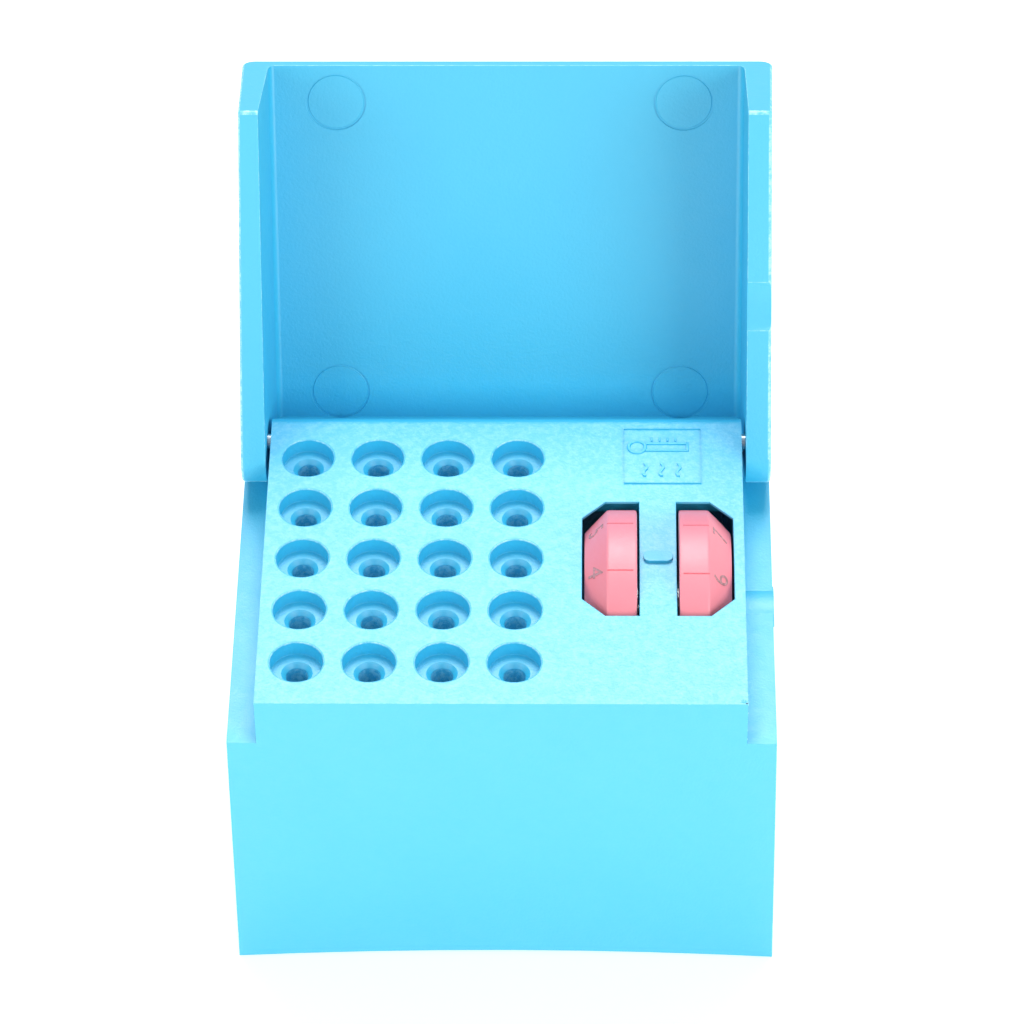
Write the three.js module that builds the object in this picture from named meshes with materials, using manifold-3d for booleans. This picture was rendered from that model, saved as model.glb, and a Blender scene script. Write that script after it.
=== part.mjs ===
// A small flip-lid block for dental burs and root-canal files. A hollow moulded base carries a
// deck of twenty seated holes and two number wheels that count sterilising cycles. The lid turns
// on two short steel pins at the back. Millimetres, +Z up, front towards -Y, origin at the centre
// of the underside. The lid is drawn open, lying against its stop.
import * as THREE from "three";
import { mergeVertices } from "three/addons/utils/BufferGeometryUtils.js";
import Module from "manifold-3d";

const wasm = await Module();
wasm.setup();

// ---- driving dimensions ----
const BASE_WIDTH = 60.6;
const BASE_DEPTH = 46;
const DECK_HEIGHT = 42.6;
const LEDGE_DROP = 6.4;
const BLOCK_WIDTH = 54;
const SIDE_DRAFT = 0.35;
const CORNER_RADIUS = 1;
const DECK_BACK_RADIUS = 2.3;
const LEDGE_BACK_RADIUS = 1.2;

const DECK_THICKNESS = 3;
const LOWER_WALL = 2.1;
const UPPER_WALL = 1.3;
const END_WALL = 2.4;
const SHELF_THICKNESS = 2.4;
const POST_SIZE = 3.2;

const HOLE_COLUMNS = 4;
const HOLE_ROWS = 5;
const HOLE_PITCH = 8;
const FIRST_HOLE_X = -22.6;
const FIRST_HOLE_Y = -16.7;
const SEAT_RADIUS = 2.95;
const SEAT_DEPTH = 1.9;
const CONE_RADIUS = 1.72;
const BORE_RADIUS = 1.225;
const SLEEVE_RADIUS = 2.4;
const SLEEVE_LENGTH = 24;

const WHEEL_RADIUS = 11.5;
const WHEEL_WIDTH = 5.9;
const WHEEL_CHAMFER = 2.6;
const WHEEL_SPACING = 10.6;
const WHEEL_DROP = 8.7;
const WHEELS_X = 17.3;
const WHEELS_Y = -0.7;
const WINDOW_WIDTH = 6.4;
const WINDOW_LENGTH = 17.8;
const WINDOW_CORNER = 2.6;
const WHEEL_CLEARANCE = 0.35;
const AXLE_RADIUS = 1;
const AXLE_LENGTH = 15.6;
const RIB_THICKNESS = 3.4;
const RIB_DEPTH = 9;
const RIB_DROP = 13;
const OUTER_RECESS = { radius: 3.2, depth: 1.2 };
const INNER_RECESS = { radius: 4.2, depth: 1.3 };

const PIN_BACK_INSET = 3.7;
const PIN_DROP = 1.3;
const PIN_RADIUS = 0.9;
const PIN_INNER_X = 23;
const PIN_OUTER_X = 30;
const PRESS_GAP = 0.05;
const RUNNING_GAP = 0.09;

const LID_OPEN_ANGLE = 110;
const LID_HEIGHT = 16.6;
const LID_RIM_GAP = 0.2;
const LID_PLATE = 1.7;
const LID_WALL = 2.85;
const LID_BACK_WALL = 2.5;
const LID_STOP_GAP = 0.15;
const LID_BACK_RADIUS = 2;

const BUMP_Y = -1.4;
const BUMP_LENGTH = 3.7;
const BUMP_HEIGHT = 0.35;
const COVER_THICKNESS = 1.8;
const COVER_GAP = 0.3;
const STEAM_SLOT = { width: 2.2, length: 12, pitch: 6.4, count: 7, offset: 9.5 };

// ---- places worked out from them ----
const ledgeHeight = DECK_HEIGHT - LEDGE_DROP;
const deckUnderside = DECK_HEIGHT - DECK_THICKNESS;
const wheelAxisZ = DECK_HEIGHT - WHEEL_DROP;
const pinY = BASE_DEPTH / 2 - PIN_BACK_INSET;
const pinZ = DECK_HEIGHT - PIN_DROP;
const lowerCavityHalf = BASE_WIDTH / 2 - LOWER_WALL;
const upperCavityHalf = BLOCK_WIDTH / 2 - UPPER_WALL;
const cavityHalfDepth = BASE_DEPTH / 2 - END_WALL;
const shelfUnderside = ledgeHeight - SHELF_THICKNESS;
const MERGE_TOLERANCE = 1e-4;
const OVERCUT = 1;

// ---- solids ----
// Turns a closed geometry into a solid, with only its positions left.
function solid(geometry) {
  const bare = geometry.index ? geometry.toNonIndexed() : geometry.clone();
  bare.deleteAttribute("normal");
  bare.deleteAttribute("uv");
  const merged = mergeVertices(bare, MERGE_TOLERANCE);
  const mesh = new wasm.Mesh({
    numProp: 3,
    vertProperties: merged.attributes.position.array,
    triVerts: new Uint32Array(merged.index.array),
  });
  return new wasm.Manifold(mesh);
}

// Turns a solid back into a named mesh with its own material.
function namedMesh(name, body, look) {
  const made = body.getMesh();
  const geometry = new THREE.BufferGeometry();
  geometry.setAttribute("position", new THREE.BufferAttribute(made.vertProperties, 3));
  geometry.setIndex(new THREE.BufferAttribute(made.triVerts, 1));
  geometry.computeVertexNormals();
  const mesh = new THREE.Mesh(geometry, new THREE.MeshStandardMaterial(look));
  mesh.name = name;
  return mesh;
}

// A box given by its lowest and highest corners.
function box(low, high) {
  const size = high.map((value, i) => value - low[i]);
  const middle = high.map((value, i) => (value + low[i]) / 2);
  return solid(new THREE.BoxGeometry(...size).translate(...middle));
}

// A cylinder along X between two x values.
function cylinderX(radius, x0, x1, y, z, segments = 32) {
  const geometry = new THREE.CylinderGeometry(radius, radius, x1 - x0, segments);
  geometry.rotateZ(Math.PI / 2);
  return solid(geometry.translate((x0 + x1) / 2, y, z));
}

// A cylinder along Z between two z values.
function cylinderZ(radius, z0, z1, x, y, segments) {
  const geometry = new THREE.CylinderGeometry(radius, radius, z1 - z0, segments);
  geometry.rotateX(Math.PI / 2);
  return solid(geometry.translate(x, y, (z0 + z1) / 2));
}

// An outline drawn in (y, z), extruded along X between two x values.
function extrudeX(shape, x0, x1, curveSegments = 8) {
  const options = { depth: x1 - x0, bevelEnabled: false, curveSegments };
  const geometry = new THREE.ExtrudeGeometry(shape, options);
  const toWorld = new THREE.Matrix4().makeBasis(
    new THREE.Vector3(0, 1, 0),
    new THREE.Vector3(0, 0, 1),
    new THREE.Vector3(1, 0, 0),
  );
  return solid(geometry.applyMatrix4(toWorld).translate(x0, 0, 0));
}

// An outline drawn in (x, y), extruded along Z between two z values.
function extrudeZ(shape, z0, z1, curveSegments = 6) {
  const options = { depth: z1 - z0, bevelEnabled: false, curveSegments };
  return solid(new THREE.ExtrudeGeometry(shape, options).translate(0, 0, z0));
}

// A ring turned about X from an outline of [radius, x] points that closes on itself.
function turnedX(outline, segments) {
  const points = outline.map(([radius, x]) => new THREE.Vector2(radius, x));
  const closed = [...points, points[0].clone()];
  return solid(new THREE.LatheGeometry(closed, segments).rotateZ(-Math.PI / 2));
}

function polygon(points) {
  return new THREE.Shape(points.map(([u, v]) => new THREE.Vector2(u, v)));
}

// A rectangle about the origin with rounded corners.
function roundedRectangle(width, depth, radius) {
  const x = width / 2;
  const y = depth / 2;
  const shape = new THREE.Shape();
  shape.moveTo(-x + radius, -y);
  shape.lineTo(x - radius, -y);
  shape.absarc(x - radius, -y + radius, radius, -Math.PI / 2, 0);
  shape.lineTo(x, y - radius);
  shape.absarc(x - radius, y - radius, radius, 0, Math.PI / 2);
  shape.lineTo(-x + radius, y);
  shape.absarc(-x + radius, y - radius, radius, Math.PI / 2, Math.PI);
  shape.lineTo(-x, -y + radius);
  shape.absarc(-x + radius, -y + radius, radius, Math.PI, Math.PI * 1.5);
  return shape;
}

// A side outline in (y, z) that is square at the front and rounded at the back of its top.
function backRoundedOutline(bottom, top, radius) {
  const y = BASE_DEPTH / 2;
  const shape = new THREE.Shape();
  shape.moveTo(-y, bottom);
  shape.lineTo(y, bottom);
  shape.lineTo(y, top - radius);
  shape.absarc(y - radius, top - radius, radius, 0, Math.PI / 2);
  shape.lineTo(-y, top);
  return shape;
}

function join(bodies) {
  return bodies.reduce((sum, body) => sum.add(body));
}

// Calls make(x, y) for the centre of each hole in the deck.
function atEachHole(make) {
  const made = [];
  for (let row = 0; row < HOLE_ROWS; row++) {
    for (let column = 0; column < HOLE_COLUMNS; column++) {
      made.push(make(FIRST_HOLE_X + column * HOLE_PITCH, FIRST_HOLE_Y + row * HOLE_PITCH));
    }
  }
  return made;
}

// ---- base ----
// The outside: a box with slightly tapered sides, and a narrower block on top, flush with it
// at the front and the back, which leaves a ledge along each side.
function baseOutside() {
  const outline = roundedRectangle(BASE_WIDTH, BASE_DEPTH, CORNER_RADIUS);
  const options = { depth: ledgeHeight, bevelEnabled: false, curveSegments: 5 };
  const prism = new THREE.ExtrudeGeometry(outline, options);
  const position = prism.attributes.position;
  const bottomScale = 1 + (2 * SIDE_DRAFT) / BASE_WIDTH;
  for (let i = 0; i < position.count; i++) {
    const spread = position.getZ(i) < ledgeHeight / 2 ? bottomScale : 1;
    position.setX(i, position.getX(i) * spread);
  }
  const lowerSide = backRoundedOutline(0, ledgeHeight, LEDGE_BACK_RADIUS);
  const lower = solid(prism).intersect(extrudeX(lowerSide, -BASE_WIDTH, BASE_WIDTH));
  const blockSide = backRoundedOutline(ledgeHeight - OVERCUT, DECK_HEIGHT, DECK_BACK_RADIUS);
  return lower.add(extrudeX(blockSide, -BLOCK_WIDTH / 2, BLOCK_WIDTH / 2));
}

// The hollow, open at the bottom, wide below the ledges and narrower inside the block.
function baseHollow() {
  const y = cavityHalfDepth;
  const low = box([-lowerCavityHalf, -y, -OVERCUT], [lowerCavityHalf, y, shelfUnderside]);
  const high = box([-upperCavityHalf, -y, 0], [upperCavityHalf, y, deckUnderside]);
  return low.add(high);
}

// Four corner posts that stop the bottom cover at its depth.
function cornerPosts() {
  const outerX = lowerCavityHalf + MERGE_TOLERANCE;
  const outerY = cavityHalfDepth + MERGE_TOLERANCE;
  const low = COVER_THICKNESS + COVER_GAP;
  const posts = [];
  for (const sideX of [-1, 1]) {
    for (const sideY of [-1, 1]) {
      const xs = [sideX * outerX, sideX * (outerX - POST_SIZE)].sort((a, b) => a - b);
      const ys = [sideY * outerY, sideY * (outerY - POST_SIZE)].sort((a, b) => a - b);
      posts.push(box([xs[0], ys[0], low], [xs[1], ys[1], shelfUnderside + OVERCUT]));
    }
  }
  return join(posts);
}

// The sleeve under each hole, which holds the shank upright.
function sleeves() {
  const bottom = DECK_HEIGHT - SLEEVE_LENGTH;
  return join(
    atEachHole((x, y) => cylinderZ(SLEEVE_RADIUS, bottom, deckUnderside + OVERCUT, x, y, 12)),
  );
}

// A seated hole: a flat-bottomed seat, a short cone and the bore right through the sleeve.
function holeCutters() {
  const seatFloor = -SEAT_DEPTH;
  const coneEnd = seatFloor - (CONE_RADIUS - BORE_RADIUS);
  const outline = [
    [0, -SLEEVE_LENGTH - OVERCUT],
    [BORE_RADIUS, -SLEEVE_LENGTH - OVERCUT],
    [BORE_RADIUS, coneEnd],
    [CONE_RADIUS, seatFloor],
    [SEAT_RADIUS, seatFloor],
    [SEAT_RADIUS, OVERCUT],
    [0, OVERCUT],
  ];
  const points = outline.map(([radius, z]) => new THREE.Vector2(radius, z));
  return join(
    atEachHole((x, y) => {
      const cutter = new THREE.LatheGeometry(points, 16).rotateX(Math.PI / 2);
      return solid(cutter.translate(x, y, DECK_HEIGHT));
    }),
  );
}

// The centre line, in x, of the left (-1) or right (1) number wheel and its window.
function wheelX(side) {
  return WHEELS_X + (side * WHEEL_SPACING) / 2;
}

// A window with its two outer corners cut off, and below it the round room for the wheel.
function windowCutter(side) {
  const inner = -WINDOW_WIDTH / 2;
  const outer = WINDOW_WIDTH / 2;
  const end = WINDOW_LENGTH / 2;
  const corners = [
    [inner, -end],
    [outer - WINDOW_CORNER, -end],
    [outer, -end + WINDOW_CORNER],
    [outer, end - WINDOW_CORNER],
    [outer - WINDOW_CORNER, end],
    [inner, end],
  ].map(([x, y]) => [wheelX(side) + side * x, WHEELS_Y + y]);
  const outline = side > 0 ? corners : corners.reverse();
  const opening = extrudeZ(polygon(outline), deckUnderside - OVERCUT, DECK_HEIGHT + OVERCUT);
  const x0 = wheelX(side) - WINDOW_WIDTH / 2;
  const roomRadius = WHEEL_RADIUS + WHEEL_CLEARANCE;
  const room = cylinderX(roomRadius, x0, x0 + WINDOW_WIDTH, WHEELS_Y, wheelAxisZ, 48);
  const belowDeck = box(
    [x0 - OVERCUT, WHEELS_Y - BASE_DEPTH, 0],
    [x0 + WINDOW_WIDTH + OVERCUT, WHEELS_Y + BASE_DEPTH, DECK_HEIGHT - 0.9],
  );
  return opening.add(room.intersect(belowDeck));
}

// The rib that hangs between the wheels and carries their axle.
function axleRib() {
  const halfX = RIB_THICKNESS / 2;
  const halfY = RIB_DEPTH / 2;
  const low = DECK_HEIGHT - RIB_DROP;
  return box(
    [WHEELS_X - halfX, WHEELS_Y - halfY, low],
    [WHEELS_X + halfX, WHEELS_Y + halfY, deckUnderside + OVERCUT],
  );
}

// A low rounded bump across the right ledge, which clicks into a notch in the lid's rim.
function snapBump() {
  const half = BUMP_LENGTH / 2;
  const radius = (half * half + BUMP_HEIGHT * BUMP_HEIGHT) / (2 * BUMP_HEIGHT);
  const spread = Math.asin(half / radius);
  const shape = new THREE.Shape();
  shape.moveTo(BUMP_Y - half, ledgeHeight - OVERCUT);
  shape.lineTo(BUMP_Y + half, ledgeHeight - OVERCUT);
  const centreZ = ledgeHeight + BUMP_HEIGHT - radius;
  shape.absarc(BUMP_Y, centreZ, radius, Math.PI / 2 - spread, Math.PI / 2 + spread);
  return extrudeX(shape, BLOCK_WIDTH / 2 - 0.5, BASE_WIDTH / 2, 4);
}

// The raised mark on the web between the windows that the numbers are read against.
function readingMark() {
  const mark = roundedRectangle(3.2, 1.6, 0.75);
  return extrudeZ(mark, DECK_HEIGHT - 0.5, DECK_HEIGHT + 0.3, 4).translate([WHEELS_X, WHEELS_Y, 0]);
}

// The raised steam symbol: a square frame round three wavy lines and a level line.
function steamSymbol() {
  const centre = [17.9, 15.5];
  const side = 8.8;
  const line = 0.45;
  const rise = 0.2;
  const low = DECK_HEIGHT - 0.5;
  const high = DECK_HEIGHT + rise;
  const outer = roundedRectangle(side, side, 0.2);
  const inner = roundedRectangle(side - 2 * line, side - 2 * line, 0.1);
  const frame = extrudeZ(outer, low, high, 2).subtract(
    extrudeZ(inner, low - OVERCUT, high + OVERCUT, 2),
  );
  const waves = [-2.2, 0, 2.2].map((x) => extrudeZ(waveOutline(x, 0, 4.2, 0.5, line), low, high));
  return join([frame, ...waves]).translate([centre[0], centre[1], 0]);
}

// An upright wavy band of the given length, swing and line width, centred on (x, y).
function waveOutline(x, y, length, swing, line) {
  const steps = 10;
  const left = [];
  const right = [];
  for (let i = 0; i <= steps; i++) {
    const along = i / steps;
    const middle = x + (swing / 2) * Math.sin(along * 2 * Math.PI);
    const height = y - length / 2 + along * length;
    left.push([middle - line / 2, height]);
    right.push([middle + line / 2, height]);
  }
  return polygon([...right, ...left.reverse()]);
}

function hingePinHole(side, radius) {
  const xs = [side * (PIN_INNER_X - COVER_GAP), side * BASE_WIDTH].sort((a, b) => a - b);
  return cylinderX(radius, xs[0], xs[1], pinY, pinZ, 20);
}

function makeBase() {
  const shell = baseOutside().subtract(baseHollow());
  const filled = join([shell, cornerPosts(), sleeves(), axleRib(), snapBump()]);
  const marked = join([filled, readingMark(), steamSymbol()]);
  const axleHole = cylinderX(AXLE_RADIUS + PRESS_GAP, 0, BASE_WIDTH, WHEELS_Y, wheelAxisZ, 20);
  const ribRange = box(
    [WHEELS_X - RIB_THICKNESS, WHEELS_Y - RIB_DEPTH, 0],
    [WHEELS_X + RIB_THICKNESS, WHEELS_Y + RIB_DEPTH, DECK_HEIGHT],
  );
  return marked
    .subtract(holeCutters())
    .subtract(windowCutter(-1))
    .subtract(windowCutter(1))
    .subtract(axleHole.intersect(ribRange))
    .subtract(hingePinHole(-1, PIN_RADIUS + PRESS_GAP))
    .subtract(hingePinHole(1, PIN_RADIUS + PRESS_GAP));
}

// ---- bottom cover ----
function makeBottomCover() {
  const width = 2 * (lowerCavityHalf - COVER_GAP);
  const depth = 2 * (cavityHalfDepth - COVER_GAP);
  const plate = extrudeZ(roundedRectangle(width, depth, CORNER_RADIUS), 0, COVER_THICKNESS);
  const lips = [-1, 1].map((side) => {
    const edge = side * (width / 2);
    const xs = [edge, edge - side * 1.4].sort((a, b) => a - b);
    return box([xs[0], -10, COVER_THICKNESS - 0.5], [xs[1], 10, COVER_THICKNESS + 4]);
  });
  const slots = [];
  for (const sideY of [-1, 1]) {
    for (let i = 0; i < STEAM_SLOT.count; i++) {
      const x = (i - (STEAM_SLOT.count - 1) / 2) * STEAM_SLOT.pitch;
      const outline = roundedRectangle(STEAM_SLOT.width, STEAM_SLOT.length, STEAM_SLOT.width / 2.01);
      const slot = extrudeZ(outline, -OVERCUT, COVER_THICKNESS + OVERCUT, 3);
      slots.push(slot.translate([x, sideY * STEAM_SLOT.offset, 0]));
    }
  }
  return join([plate, ...lips]).subtract(join(slots));
}

// ---- lid, drawn shut about the pin's axis, and turned open by its group ----
const lidFront = -BASE_DEPTH / 2 - pinY;
const lidBack = PIN_BACK_INSET;
const lidRim = ledgeHeight + LID_RIM_GAP - pinZ;
const lidTop = ledgeHeight + LID_HEIGHT - pinZ;

// The side outline. The lower back corner is round about the pin, so it clears the ledge.
function lidOutline() {
  const radius = -lidRim;
  const meets = -Math.acos(lidBack / radius);
  const shape = new THREE.Shape();
  shape.moveTo(lidFront, lidRim);
  shape.lineTo(0, lidRim);
  shape.absarc(0, 0, radius, -Math.PI / 2, meets);
  shape.lineTo(lidBack, lidTop - LID_BACK_RADIUS);
  const turn = [lidBack - LID_BACK_RADIUS, lidTop - LID_BACK_RADIUS];
  shape.absarc(turn[0], turn[1], LID_BACK_RADIUS, 0, Math.PI / 2);
  shape.lineTo(lidFront, lidTop);
  return shape;
}

// The hollow runs out at the front. At the back it leaves a wall whose lower edge is slanted,
// so that it lies flat on the base's back face when the lid is fully open.
function lidHollowOutline() {
  const angle = THREE.MathUtils.degToRad(LID_OPEN_ANGLE);
  const reach = lidBack + LID_STOP_GAP;
  const stopHeight = (y) => (reach - y * Math.cos(angle)) / Math.sin(angle);
  const wallFace = lidBack - LID_BACK_WALL;
  const beyond = lidBack + OVERCUT;
  return polygon([
    [lidFront - OVERCUT, lidRim - OVERCUT],
    [beyond, lidRim - OVERCUT],
    [beyond, stopHeight(beyond)],
    [wallFace, stopHeight(wallFace)],
    [wallFace, lidTop - LID_PLATE],
    [lidFront - OVERCUT, lidTop - LID_PLATE],
  ]);
}

function makeLid() {
  const outerX = BASE_WIDTH / 2;
  const innerX = outerX - LID_WALL;
  const outside = extrudeX(lidOutline(), -outerX, outerX);
  const hollow = extrudeX(lidHollowOutline(), -innerX, innerX);
  const bumpAt = BUMP_Y - pinY;
  const notch = box(
    [innerX - OVERCUT, bumpAt - BUMP_LENGTH / 2 - 0.4, lidRim - OVERCUT],
    [outerX + OVERCUT, bumpAt + BUMP_LENGTH / 2 + 0.4, lidRim + BUMP_HEIGHT],
  );
  const pinHole = cylinderX(PIN_RADIUS + RUNNING_GAP, -BASE_WIDTH, BASE_WIDTH, 0, 0, 24);
  return outside.subtract(hollow).subtract(notch).subtract(pinHole);
}

// ---- number wheels, their axle and what holds them on it ----
// A wheel drawn from its outer face at x = 0 to its inner face, with the number slope outside.
function wheelOutline() {
  const bore = AXLE_RADIUS + RUNNING_GAP;
  return [
    [bore, OUTER_RECESS.depth],
    [OUTER_RECESS.radius, OUTER_RECESS.depth],
    [OUTER_RECESS.radius, 0],
    [WHEEL_RADIUS - WHEEL_CHAMFER, 0],
    [WHEEL_RADIUS, WHEEL_CHAMFER],
    [WHEEL_RADIUS, WHEEL_WIDTH],
    [INNER_RECESS.radius, WHEEL_WIDTH],
    [INNER_RECESS.radius, WHEEL_WIDTH - INNER_RECESS.depth],
    [bore, WHEEL_WIDTH - INNER_RECESS.depth],
  ];
}

// A dished spring washer in the inner recess that keeps a set number from drifting.
function springWasherOutline() {
  const start = WHEEL_WIDTH - INNER_RECESS.depth + 0.3;
  const dish = 0.7;
  const sheet = 0.4;
  return [
    [1.35, start],
    [3.8, start + dish],
    [3.8, start + dish + sheet],
    [1.35, start + sheet],
  ];
}

// A push-on retainer in the outer recess.
function retainerOutline() {
  const start = 0.4;
  const sheet = 0.5;
  return [
    [AXLE_RADIUS + PRESS_GAP, start],
    [2.8, start],
    [2.8, start + sheet],
    [AXLE_RADIUS + PRESS_GAP, start + sheet],
  ];
}

// Places an outline measured from the wheel's outer face, for the left or right wheel.
function onAxle(outline, side, segments) {
  const outerFace = wheelX(side) + (side * WHEEL_WIDTH) / 2;
  const along = outline.map(([radius, x]) => [radius, -side * x]);
  const ordered = side < 0 ? along : along.reverse();
  return turnedX(ordered, segments).translate([outerFace, WHEELS_Y, wheelAxisZ]);
}

// ---- the assembly ----
const plasticLook = { color: 0x6fdcf7, roughness: 0.62, metalness: 0 };
const wheelLook = { color: 0xffb3c6, roughness: 0.5, metalness: 0 };
const steelLook = { color: 0xc9ccd0, roughness: 0.3, metalness: 1 };

const group = new THREE.Group();
group.add(namedMesh("base_body", makeBase(), plasticLook));
group.add(namedMesh("bottom_cover", makeBottomCover(), plasticLook));

const lidGroup = new THREE.Group();
lidGroup.position.set(0, pinY, pinZ);
lidGroup.rotation.x = -THREE.MathUtils.degToRad(LID_OPEN_ANGLE);
lidGroup.add(namedMesh("lid", makeLid(), plasticLook));
group.add(lidGroup);

for (const [name, side] of [["left", -1], ["right", 1]]) {
  const pinEnds = [side * PIN_INNER_X, side * PIN_OUTER_X].sort((a, b) => a - b);
  const pin = cylinderX(PIN_RADIUS, pinEnds[0], pinEnds[1], pinY, pinZ, 24);
  group.add(namedMesh("hinge_pin_" + name, pin, steelLook));
  group.add(namedMesh("counter_wheel_" + name, onAxle(wheelOutline(), side, 40), wheelLook));
  const washer = onAxle(springWasherOutline(), side, 20);
  group.add(namedMesh("spring_washer_" + name, washer, steelLook));
  const retainer = onAxle(retainerOutline(), side, 20);
  group.add(namedMesh("axle_retainer_" + name, retainer, steelLook));
}

const axleHalf = AXLE_LENGTH / 2;
const axleBody = cylinderX(
  AXLE_RADIUS, WHEELS_X - axleHalf, WHEELS_X + axleHalf, WHEELS_Y, wheelAxisZ, 24,
);
group.add(namedMesh("wheel_axle", axleBody, steelLook));

export default group;
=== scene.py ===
"""Flip-lid instrument block: a moulded base with twenty seated holes, two number wheels and a lid.

Every shape is modelled in millimetres and brought to metres when its piece is finished.
"""

import math

import bmesh
import bpy
from mathutils import Matrix, Vector


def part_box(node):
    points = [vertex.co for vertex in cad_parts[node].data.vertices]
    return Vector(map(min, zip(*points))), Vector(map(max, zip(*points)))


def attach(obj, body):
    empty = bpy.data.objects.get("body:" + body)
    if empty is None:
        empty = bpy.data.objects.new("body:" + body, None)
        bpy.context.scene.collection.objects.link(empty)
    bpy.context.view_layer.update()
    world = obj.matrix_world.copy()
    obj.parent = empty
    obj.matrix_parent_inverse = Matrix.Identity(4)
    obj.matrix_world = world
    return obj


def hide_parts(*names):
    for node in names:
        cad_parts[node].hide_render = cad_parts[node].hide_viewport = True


bl_info = {
    "name": "Flip-Lid Instrument Block",
    "version": (1, 0, 0),
    "blender": (4, 5, 0),
    "location": "3D View > Sidebar > Block",
    "description": "Builds the moulded base, lid, number wheels and fittings of an instrument block",
    "category": "Object",
}

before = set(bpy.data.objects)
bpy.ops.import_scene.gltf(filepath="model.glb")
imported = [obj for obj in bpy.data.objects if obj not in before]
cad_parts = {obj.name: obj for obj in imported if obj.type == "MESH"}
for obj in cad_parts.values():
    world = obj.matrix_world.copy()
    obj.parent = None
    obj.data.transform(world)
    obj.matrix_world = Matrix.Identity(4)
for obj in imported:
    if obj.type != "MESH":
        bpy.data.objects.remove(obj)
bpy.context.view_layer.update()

MM = 1000.0


def node_box(node):
    """The lowest and highest corner of a CAD node at rest, in millimetres."""
    low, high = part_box(node)
    return Vector(low) * MM, Vector(high) * MM


base_high = node_box("base_body")[1]
left_wheel_low, left_wheel_high = node_box("counter_wheel_left")
right_wheel_low, right_wheel_high = node_box("counter_wheel_right")
pin_low, pin_high = node_box("hinge_pin_right")
cover_high = node_box("bottom_cover")[1]

PIN_Y = (pin_low.y + pin_high.y) / 2
PIN_Z = (pin_low.z + pin_high.z) / 2
WHEEL_Y = (right_wheel_low.y + right_wheel_high.y) / 2
WHEEL_Z = (right_wheel_low.z + right_wheel_high.z) / 2
WHEEL_RADIUS = (right_wheel_high.z - right_wheel_low.z) / 2
WHEEL_WIDTH = right_wheel_high.x - right_wheel_low.x
LEFT_WHEEL_X = (left_wheel_low.x + left_wheel_high.x) / 2
RIGHT_WHEEL_X = (right_wheel_low.x + right_wheel_high.x) / 2
WEB_MIDDLE_X = (LEFT_WHEEL_X + RIGHT_WHEEL_X) / 2
BASE_BACK = base_high.y
DECK_HEIGHT = 42.6

# What is merged or cut closer than this counts as one place.
TOUCHING = 1e-4
# Small marks are rooted this far in the deck.
MARK_ROOT = 0.3
# A face narrower than this belongs to a rounded edge.
NARROW_FACE = 0.22
# How strongly a pale colour is painted on as a highlight: on the rounded edges, and on the deck's top
# faces.
EDGE_HIGHLIGHT = 1.0
DECK_HIGHLIGHT = 0.36
SMOOTH_ANGLE = math.radians(35)


# ---- settings ----


def length(name, description, default):
    return bpy.props.FloatProperty(
        name=name, description=description, default=default, unit="LENGTH", precision=6
    )


def turn_angle(name, description, default):
    return bpy.props.FloatProperty(
        name=name, description=description, default=default, subtype="ANGLE"
    )


def power(name, description, default):
    return bpy.props.FloatProperty(
        name=name, description=description, default=default, subtype="POWER"
    )


def colour(name, description, default):
    return bpy.props.FloatVectorProperty(
        name=name, description=description, default=default, subtype="COLOR", min=0.0, max=1.0
    )


class StageSettings(bpy.types.PropertyGroup):
    position: bpy.props.FloatVectorProperty(
        name="Camera Position",
        description="Where the camera stands",
        default=(0.011341, -0.410651, 0.461198),
        subtype="XYZ",
        unit="LENGTH",
    )
    elevation: turn_angle("Elevation", "How far the camera looks down", math.radians(45.0856))
    heading: turn_angle(
        "Heading", "How far the camera is turned about the vertical", math.radians(1.44207)
    )
    roll: turn_angle(
        "Roll", "How far the camera is turned about its own line of sight", math.radians(-0.946)
    )
    lens: bpy.props.FloatProperty(
        name="Focal Length",
        description="Focal length on a 36 mm sensor",
        default=183.7656,
        subtype="DISTANCE_CAMERA",
    )
    floor_size: length("Floor Size", "Side of the square floor", 3.0)
    floor_colour: colour("Floor Colour", "Colour of the floor", (0.92, 0.92, 0.92))
    room_light: bpy.props.FloatProperty(
        name="Room Light",
        description="Strength of the even white light from all round",
        default=0.44,
        min=0.0,
    )
    key_light: power("Key Light", "Power of the large lamp at the front right", 8.5)
    fill_light: power("Fill Light", "Power of the large lamp at the front left", 5.7)
    back_light: power(
        "Back Light", "Power of the lamp high up behind, which whitens the faces that look up", 6.5
    )


class PlasticSettings(bpy.types.PropertyGroup):
    shell_colour: colour(
        "Shell Colour", "Colour of the base, the lid and the bottom cover", (0.018, 0.49, 0.75)
    )
    shell_tint: colour(
        "Shell Tint", "The slightly paler colour that clouds the shell", (0.022, 0.498, 0.755)
    )
    # The pale colour painted on the shell's rounded edges and deck as a highlight.
    highlight_colour: colour(
        "Edge Highlight Colour", "The paler colour of the shell's rubbed edges", (0.45, 0.86, 1.0)
    )
    wheel_colour: colour("Wheel Colour", "Colour of the number wheels", (0.84, 0.235, 0.29))
    wheel_tint: colour(
        "Wheel Tint", "The slightly paler colour that clouds the wheels", (0.86, 0.255, 0.315)
    )
    numeral_colour: colour("Numeral Colour", "Colour of the printed numerals", (0.33, 0.17, 0.18))
    steel_colour: colour(
        "Steel Colour", "Colour of the pins, the axle and its fittings", (0.62, 0.63, 0.65)
    )
    grain_size: length("Grain Size", "Size of the fine spark texture on the moulded faces", 0.00035)
    grain_depth: length("Grain Depth", "Depth of the fine spark texture", 0.00004)


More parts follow.
